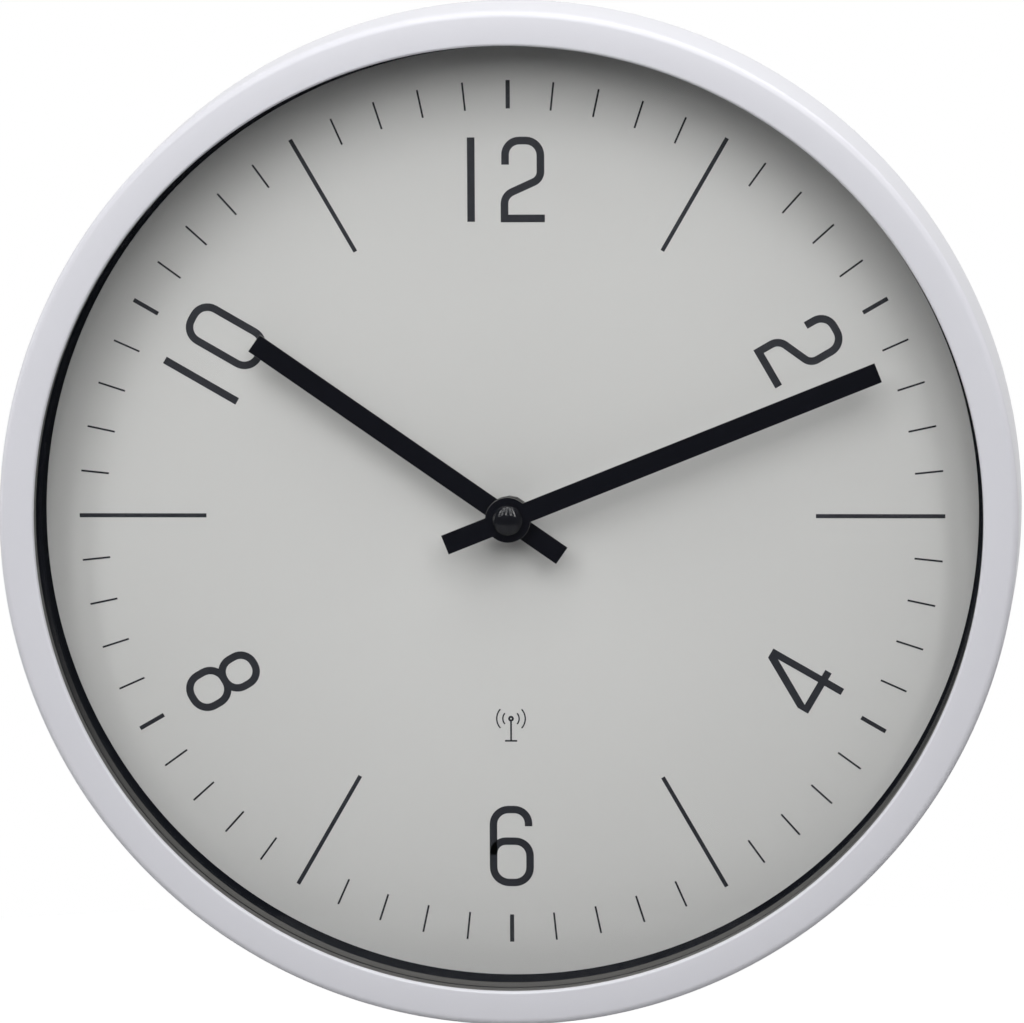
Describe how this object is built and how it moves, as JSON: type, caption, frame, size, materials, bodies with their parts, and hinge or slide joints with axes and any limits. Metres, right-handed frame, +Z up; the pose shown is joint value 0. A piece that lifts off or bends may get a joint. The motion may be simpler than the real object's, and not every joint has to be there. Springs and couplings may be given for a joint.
{
  "type": "radio-controlled wall clock",
  "caption": "Round wall clock with a deep tapered white rim, recessed glass, bar hands on a numbered dial and a rear quartz movement with aerial, battery and keyhole hanger.",
  "frame": {"origin": "on the hand arbor's axis, at half the depth of the case", "axes": "+Z up to 12 o'clock as the clock hangs, +Y from the dial back into the wall, +X to the right as seen from the front"},
  "size_m": [0.3, 0.043, 0.3],
  "materials": {
    "case_white": "satin white moulding",
    "trim_black": "gloss black",
    "spacer_black": "matt black",
    "lens_glass": "clear",
    "gasket_rubber": "matt",
    "dial_print": "matt warm grey with black numerals",
    "plate_black": "fine moulded texture",
    "screw_zinc": "zinc plated",
    "hanger_steel": "plain stamped steel",
    "hand_black": "matt black lacquer",
    "cap_black": "gloss black",
    "movement_black": "moulded",
    "bush_brass": "turned",
    "wheel_plastic": "natural white",
    "stator_steel": "laminated",
    "copper_wire": "enamelled winding",
    "board_green": "solder resist",
    "chip_black": "moulded",
    "crystal_can": "drawn can",
    "ferrite": "sintered",
    "battery_sleeve": "shrink sleeve over steel can",
    "contact_plate": "nickel plated",
    "button_grey": "moulded"
  },
  "bodies": {
    "base": {"case_ring": "case_white", "glass_trim_ring": "trim_black", "dial_spacer": "spacer_black", "lens": "lens_glass", "lens_gasket": "gasket_rubber", "dial": "dial_print", "back_plate": "plate_black", "case_screw_1": "screw_zinc", "case_screw_2": "screw_zinc", "case_screw_3": "screw_zinc", "case_screw_4": "screw_zinc", "case_screw_5": "screw_zinc", "case_screw_6": "screw_zinc", "hanger_screw_1": "screw_zinc", "hanger_screw_2": "screw_zinc", "movement_screw_1": "screw_zinc", "movement_screw_2": "screw_zinc", "wall_hanger": "hanger_steel", "movement_front_case": "movement_black", "movement_rear_case": "movement_black", "bush_washer": "bush_brass", "bush_nut": "bush_brass", "stator": "stator_steel", "coil": "copper_wire", "aerial_winding": "copper_wire", "circuit_board": "board_green", "controller_chip": "chip_black", "quartz_crystal": "crystal_can", "aerial_rod": "ferrite", "contact_minus": "contact_plate", "contact_plus": "contact_plate"},
    "minute": {"minute_hand": "hand_black", "hand_cap": "cap_black", "centre_wheel": "wheel_plastic"},
    "hour": {"hour_hand": "hand_black", "hour_wheel": "wheel_plastic"},
    "minute_wheel": {"minute_wheel": "wheel_plastic"},
    "intermediate": {"intermediate_wheel": "wheel_plastic"},
    "rotor": {"rotor": "wheel_plastic"},
    "set_button": {"set_button": "button_grey"},
    "receive_button": {"receive_button": "button_grey"},
    "reset_button": {"reset_button": "button_grey"},
    "battery": {"battery": "battery_sleeve"}
  },
  "joints": [
    {"name": "minute_hand_turn", "type": "hinge", "parent": "base", "child": "minute", "pos_m": [0, 0, 0], "axis": [0, 1, 0], "continuous": true},
    {"name": "hour_hand_turn", "type": "hinge", "parent": "base", "child": "hour", "pos_m": [0, 0, 0], "axis": [0, 1, 0], "continuous": true},
    {"name": "minute_wheel_turn", "type": "hinge", "parent": "base", "child": "minute_wheel", "pos_m": [0.00594, 0, 0.00594], "axis": [0, 1, 0], "continuous": true},
    {"name": "intermediate_turn", "type": "hinge", "parent": "base", "child": "intermediate", "pos_m": [-0.00916, 0, 0.00916], "axis": [0, 1, 0], "continuous": true},
    {"name": "rotor_turn", "type": "hinge", "parent": "base", "child": "rotor", "pos_m": [-0.0178, 0, 0.00916], "axis": [0, 1, 0], "continuous": true},
    {"name": "set_button_press", "type": "slide", "parent": "base", "child": "set_button", "axis": [0, -1, 0], "range_m": [0, 0.0006], "stiffness_N_per_m": 400, "springref_m": -0.001},
    {"name": "receive_button_press", "type": "slide", "parent": "base", "child": "receive_button", "axis": [0, -1, 0], "range_m": [0, 0.0006], "stiffness_N_per_m": 400, "springref_m": -0.001},
    {"name": "reset_button_press", "type": "slide", "parent": "base", "child": "reset_button", "axis": [0, -1, 0], "range_m": [0, 0.0006], "stiffness_N_per_m": 400, "springref_m": -0.001},
    {"name": "battery_lift_out", "type": "slide", "parent": "base", "child": "battery", "axis": [0, 1, 0], "range_m": [0, 0.018]}
  ],
  "couplings": [
    {"joint": "minute_wheel_turn", "follows": "minute_hand_turn", "ratio": -0.33333},
    {"joint": "hour_hand_turn", "follows": "minute_hand_turn", "ratio": 0.083333},
    {"joint": "intermediate_turn", "follows": "minute_hand_turn", "ratio": -8},
    {"joint": "rotor_turn", "follows": "minute_hand_turn", "ratio": 40}
  ]
}
